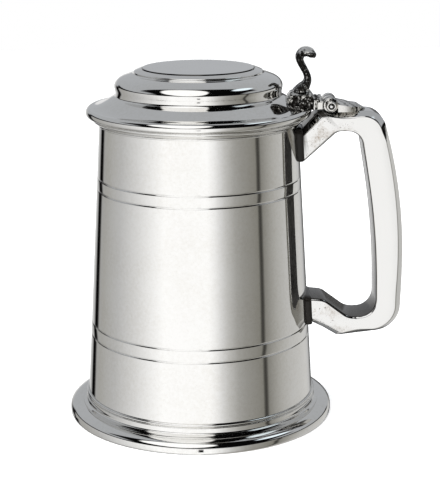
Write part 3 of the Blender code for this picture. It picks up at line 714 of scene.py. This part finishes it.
# Strap: the casting that joins lid and hinge, soldered to the flange. It has a leafy block,
# a short arm and the middle knuckle, and dark patina is left in its chased walls.
strap_low, strap_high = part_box("lid_strap")
strap_start = strap_low.x - axis_x
strap_half = strap_high.y
strap_end = pin_x - knuckle - 0.4 * MM
block_end = pin_x - 7.1 * MM


def flange_height(x, y):
    """Top of the lid under a point, read off the flange's section between the neck and the rolled edge."""
    r = np.hypot(x, y) / MM
    return lid_bottom + np.interp(r, [32.6, 33.5, 34.5, 36.0, 38.0, 40.0, 42.3, 43.6, 44.4, 45.2],
                                  [8.3, 7.75, 7.25, 6.4, 5.2, 4.15, 3.55, 3.45, 2.6, 0.9]) * MM


s = np.linspace(0, 1, 90)
t = np.linspace(-1, 1, 71)
S, T = np.meshgrid(s, t, indexing="ij")
strap_x = strap_start + (strap_end - strap_start) * S
pinch = 1 - 0.12 * np.exp(-((strap_x - block_end - 0.6 * MM) / (0.9 * MM)) ** 2) - 0.3 * (1 - S) ** 6
strap_y = strap_half * pinch * T
block = 1 / (1 + np.exp((strap_x - block_end) / (0.35 * MM)))
top_z = pin_z + 3.5 * MM + (strap_high.z - pin_z - 3.5 * MM) * block
lobe_long, lobe_wide = 3.1 * MM, 5.2 * MM
lobe_waves = np.cos(math.tau * strap_y / lobe_wide) * np.cos(math.tau * (strap_x - block_end) / lobe_long)
lobes = 0.5 * MM * lobe_waves
top_z = top_z - 1.1 * MM * np.abs(T) ** 4 - (1 - block) * (0.5 * MM + 0.8 * lobes)
top_z = top_z - 1.4 * MM * np.exp(-((strap_x - strap_start) / (0.7 * MM)) ** 2)
bottom_z = np.maximum(flange_height(strap_x, strap_y), pin_z - 1.6 * MM)
past_lid = strap_x - 44.9 * MM
bottom_z = np.where(past_lid > 0, pin_z - 1.7 * MM + past_lid * 0.12, bottom_z)
top_z = np.maximum(top_z, bottom_z + 0.6 * MM)
upper = np.stack([axis_x + strap_x, strap_y, top_z], axis=-1)
lower = np.stack([axis_x + strap_x, strap_y, bottom_z], axis=-1)


def strap_relief(x, share):
    """Chased scrolls on the block's wall: crossed waves, dying out on the plain arm; never past the wall."""
    waves = np.sin(math.tau * x / (2.9 * MM)) * np.sin(math.tau * share * 1.5)
    return (waves - 1) * 0.25 * MM * np.clip((block_end + 0.5 * MM - x) / (1 * MM), 0, 1)


strap = casting("strap_block", upper, lower, strap_relief, "lid", ["lid_strap"])


def strap_patina(p):
    """Grey on the top of the block, black in its chased wall, bright on the lower half of the arm's wall."""
    x, z = p[:, 0] - axis_x, p[:, 2] - pin_z
    crossed = np.sin(math.tau * x / (2.9 * MM)) * np.cos(math.tau * z / (3.3 * MM))
    on_block = x < block_end + 0.4 * MM
    chased = np.where(z > 3.9 * MM, 0.4, 0.74 - 0.12 * crossed)
    wall = np.where(on_block, chased, np.where(z < 1.3 * MM, 0, 0.62 - 0.2 * crossed))
    over = np.where(on_block, 0.42, 0.6 - 0.3 * np.cos(math.tau * (x - block_end) / (3.1 * MM)))
    return np.where(np.abs(p[:, 1]) > strap_half * 0.8, wall, over)


mark_patina_and_shade(strap, strap_patina)
knuckle_ring("strap_knuckle", -centre_half, centre_half, knuckle, [], "lid")
arm_x = np.linspace(strap_end - 0.8 * MM, pin_x - 1.9 * MM, 8)
arm_shape = np.array([(-0.95, -0.55), (0.95, -0.55), (1, 0.2), (0.8, 0.4), (-0.8, 0.4), (-1, 0.2)])
arm = np.stack([np.stack([np.full(6, axis_x + x), arm_shape[:, 0] * centre_half,
                          pin_z + arm_shape[:, 1] * knuckle], axis=-1) for x in arm_x])
strap_arm = skin("strap_arm", arm, antiqued_and_shaded, "lid", [], caps=True)
mark_patina_and_shade(strap_arm, lambda p: 0.5 + 0 * p[:, 0])


# Thumbpiece: a cast S-scroll, soldered on the block, that curls over to meet the thumb.
# Its stem is chased and black, and the thumb keeps the crown of the curl bright.
# Each station is millimetres from the pin, share of the height, thickness and width in millimetres.
thumb_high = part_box("thumbpiece")[1]
thumb_base = strap_high.z
thumb_rise = thumb_high.z - thumb_base
stations = [(-11.4, 0.0, 3.6, 10.4), (-10.9, 0.05, 2.6, 9.8), (-9.6, 0.14, 1.5, 9.0), (-8.8, 0.25, 1.3, 8.2),
            (-9.0, 0.36, 1.25, 7.4), (-10.0, 0.49, 1.25, 6.8), (-11.3, 0.62, 1.3, 6.8),
            (-12.3, 0.74, 1.35, 7.4), (-12.2, 0.85, 1.45, 9.0), (-10.9, 0.93, 1.5, 11.4),
            (-9.1, 0.935, 1.55, 12.6), (-7.7, 0.90, 1.55, 12.4),
            (-7.1, 0.85, 1.45, 11.6), (-6.9, 0.82, 1.1, 10.8), (-6.9, 0.815, 0.6, 10.2)]
run = flow([(x * MM, share * thumb_rise, thick * MM, wide * MM / 2) for x, share, thick, wide in stations], 9)
heading = np.gradient(run[:, :2], axis=0)
heading /= np.linalg.norm(heading, axis=1)[:, None]
upright = np.clip(1 - run[:, 1:2] / (0.12 * thumb_rise), 0, 1)
heading = heading * (1 - upright) + np.array([[0, 1]]) * upright
heading /= np.linalg.norm(heading, axis=1)[:, None]
a = np.linspace(0, math.tau, 64, endpoint=False)
round_off = 0.75
c = np.sign(np.cos(a)) * np.abs(np.cos(a)) ** round_off
d = np.sign(np.sin(a)) * np.abs(np.sin(a)) ** round_off
length = np.arange(len(run))[:, None] / (len(run) - 1)
flutes = 1 + 0.16 * np.cos(3 * a * 2)[None, :] * np.clip(6 * (1 - length) * length, 0, 1)
thick = run[:, 2:3] * d * flutes
wide = run[:, 3:4] * c
scroll_z = run[:, 1:2] - heading[:, :1] * thick
scroll_z = thumb_base + np.clip(scroll_z * thumb_rise / scroll_z.max(), 0, None)
grid = np.stack([axis_x + pin_x + run[:, :1] + heading[:, 1:] * thick, wide, scroll_z], axis=-1)
thumb = skin("thumb_scroll", grid, antiqued_and_shaded, "lid", ["thumbpiece"], sharp=60, caps=True)


def thumb_patina(p):
    """Black along the stem with bright beads, greyer on the crown of the curl."""
    up = (p[:, 2] - thumb_base) / thumb_rise
    beads = np.cos(math.tau * up * 11) * np.cos(math.tau * p[:, 1] / (2.4 * MM))
    crown = np.clip((up - 0.86) * 10, 0, 1)
    root = np.clip((0.08 - up) * 20, 0, 1)
    return 0.76 - 0.08 * beads - 0.45 * crown - 0.25 * root


mark_patina_and_shade(thumb, thumb_patina)


# Studio: a plain pale floor and a soft light tent round the tankard.
# The tent has grey walls, white cards and dark gaps, which the polished metal mirrors.
def studio_floor():
    """A wide flat sheet under the foot."""
    half = 1.2
    corners = [(-half, -half, 0), (half, -half, 0), (half, half, 0), (-half, half, 0)]
    mesh = bpy.data.meshes.new("studio_floor")
    mesh.from_pydata(corners, [], [(0, 1, 2, 3)])
    sheet = bpy.data.objects.new("studio_floor", mesh)
    bpy.context.collection.objects.link(sheet)
    paper = bpy.data.materials.new("pale_paper")
    paper.use_nodes = True
    shader = paper.node_tree.nodes["Principled BSDF"]
    shader.inputs["Base Color"].default_value = (0.93, 0.93, 0.93, 1)
    shader.inputs["Roughness"].default_value = 0.9
    shader.inputs["Emission Color"].default_value = (1, 1, 1, 1)
    shader.inputs["Emission Strength"].default_value = 0.3
    mesh.materials.append(paper)
    sheet.visible_glossy = False


studio_floor()
# Walls of the tent: (degrees round from the camera's side, display grey, warmth)
tent_walls = [(-178, 215, 0), (-160, 190, 0), (-151, 140, 0), (-148, 5, 0), (-139.5, 5, 0), (-135, 154, 1),
              (-125, 157, 2), (-97, 178, 0), (-83, 195, 0), (-70, 210, 0), (-58, 226, 0), (-47, 240, 0),
              (-38, 250, 0), (9, 249, 0), (16, 234, 0), (22, 212, 0), (29, 186, 1), (39, 156, 2),
              (48, 142, 3), (66, 124, 5), (68, 60, 5), (71, 60, 5), (73, 126, 4), (82, 149, 3), (92, 167, 2),
              (106, 181, 1), (140, 192, 1), (150, 182, 0), (160, 100, 0), (173, 60, 0), (176, 150, 0)]
reflectance = 0.76


def lit(grey, warmth=0.0):
    """The light that a display grey needs in a pewter mirror, a little warmer as warmth grows."""
    level = ((grey / 255 + 0.055) / 1.055) ** 2.4 / reflectance
    more_red, less_blue = 0.006 * warmth, 0.022 * warmth
    return (level * (1 + more_red), level, level * (1 - less_blue))


world = bpy.data.worlds.new("light_tent")
bpy.context.scene.world = world
world.use_nodes = True
world.node_tree.nodes.clear()


class TentTree(Finish):
    """The world's node tree, used like a finish."""

    def __init__(self, node_tree):
        self.tree = node_tree


tent_tree = TentTree(world.node_tree)
direction = tent_tree.node("ShaderNodeTexCoord")
axes = tent_tree.node("ShaderNodeSeparateXYZ", in_0=(direction, "Generated"))
sideways = (axes, 0)
away = tent_tree.sum((axes, 1), -1.0, "MULTIPLY")
azimuth = tent_tree.sum((axes, 0), away, "ARCTAN2")
turn = tent_tree.span(azimuth, -math.pi, math.pi, 0, 1)
elevation = tent_tree.node("ShaderNodeMath", operation="ARCSINE", in_0=(axes, 2))
degrees_up = tent_tree.sum(elevation, 180 / math.pi, "MULTIPLY")
degrees_round = tent_tree.sum(azimuth, 180 / math.pi, "MULTIPLY")
walls = tent_tree.ramp(turn, *[((at + 180) / 360, lit(grey, warmth)) for at, grey, warmth in tent_walls])


def window(across, up, centre, half, soft):
    """1 inside a rectangle of directions and 0 outside it, measured by two values, with soft edges."""
    sides = []
    for value, middle, reach_of, blur in zip((across, up), centre, half, soft):
        apart = tent_tree.node("ShaderNodeMath", operation="ABSOLUTE", in_0=tent_tree.sum(value, -middle))
        sides.append(tent_tree.span(apart, reach_of - blur, reach_of + blur, 1, 0))
    return tent_tree.sum(sides[0], sides[1], "MULTIPLY")


def oval(across, up, centre, half, soft):
    """1 inside an oval of directions and 0 outside it, by the sum of the squares of two shares, softened."""
    shares = [tent_tree.sum(tent_tree.sum(value, -middle), 1 / reach_of, "MULTIPLY")
              for value, middle, reach_of in zip((across, up), centre, half)]
    squares = [tent_tree.sum(share, share, "MULTIPLY") for share in shares]
    return tent_tree.span(tent_tree.sum(*squares), 1 - soft, 1 + soft, 1, 0)


tilt = tent_tree.sum(tent_tree.sum((axes, 2), away, "ARCTAN2"), 180 / math.pi, "MULTIPLY")
red, green, blue = lit(164)
ceiling = (red * 0.97, green, blue * 1.045, 1)
black = (*lit(6), 1)
colour = tent_tree.blend(tent_tree.span(degrees_up, 3, 5), walls, ceiling)
dark_sky = window(sideways, tilt, (0, 52), (0.86, 47), (0.04, 2))
colour = tent_tree.blend(dark_sky, colour, black)
horizon = window(degrees_round, degrees_up, (0, 8), (145, 4.5), (3, 1))
colour = tent_tree.blend(horizon, colour, black)
soft_box = oval(sideways, tilt, (-0.24, 53), (0.42, 41), 0.1)
colour = tent_tree.blend(soft_box, colour, (*lit(255), 1))
side_box = oval(sideways, tilt, (0.58, 94), (0.12, 17), 0.3)
cool_glow = (1.15, 1.3, 1.4, 1)
colour = tent_tree.blend(side_box, colour, cool_glow)
lens_spot = window(degrees_round, degrees_up, (0, -26), (2.2, 3.5), (0.5, 1))
colour = tent_tree.blend(lens_spot, colour, (*lit(5), 1))
rays = tent_tree.node("ShaderNodeLightPath")
colour = tent_tree.blend((rays, "Is Camera Ray"), colour, (1, 1, 1, 1))
shine = tent_tree.node("ShaderNodeBackground", in_Color=colour, in_Strength=1.0)
tent_tree.node("ShaderNodeOutputWorld", in_Surface=shine)

lamp = bpy.data.lights.new("soft_overhead", "AREA")
lamp.shape = "DISK"
lamp.size = 1.6
lamp.energy = 24
lamp_object = bpy.data.objects.new("soft_overhead", lamp)
lamp_object.location = (axis_x, -0.1, 1.3)
lamp_object.visible_glossy = False
bpy.context.collection.objects.link(lamp_object)


# Camera: a short telephoto, a little above the lid, looking down on the near side
# and leaning by a fraction of a degree.
camera_place = (axis_x, -0.5749, 0.2197)
looking_down, leaning = math.radians(14.86), math.radians(-0.39)
camera = bpy.data.cameras.new("camera")
camera.sensor_width = 36
camera.lens = 105.084
camera.shift_x = 0.041
camera_object = bpy.data.objects.new("camera", camera)
camera_object.matrix_world = (Matrix.Translation(camera_place)
                              @ Matrix.Rotation(math.pi / 2 - looking_down, 4, "X")
                              @ Matrix.Rotation(leaning, 4, "Z"))
bpy.context.collection.objects.link(camera_object)
bpy.context.scene.camera = camera_object
bpy.context.scene.view_settings.view_transform = "Standard"
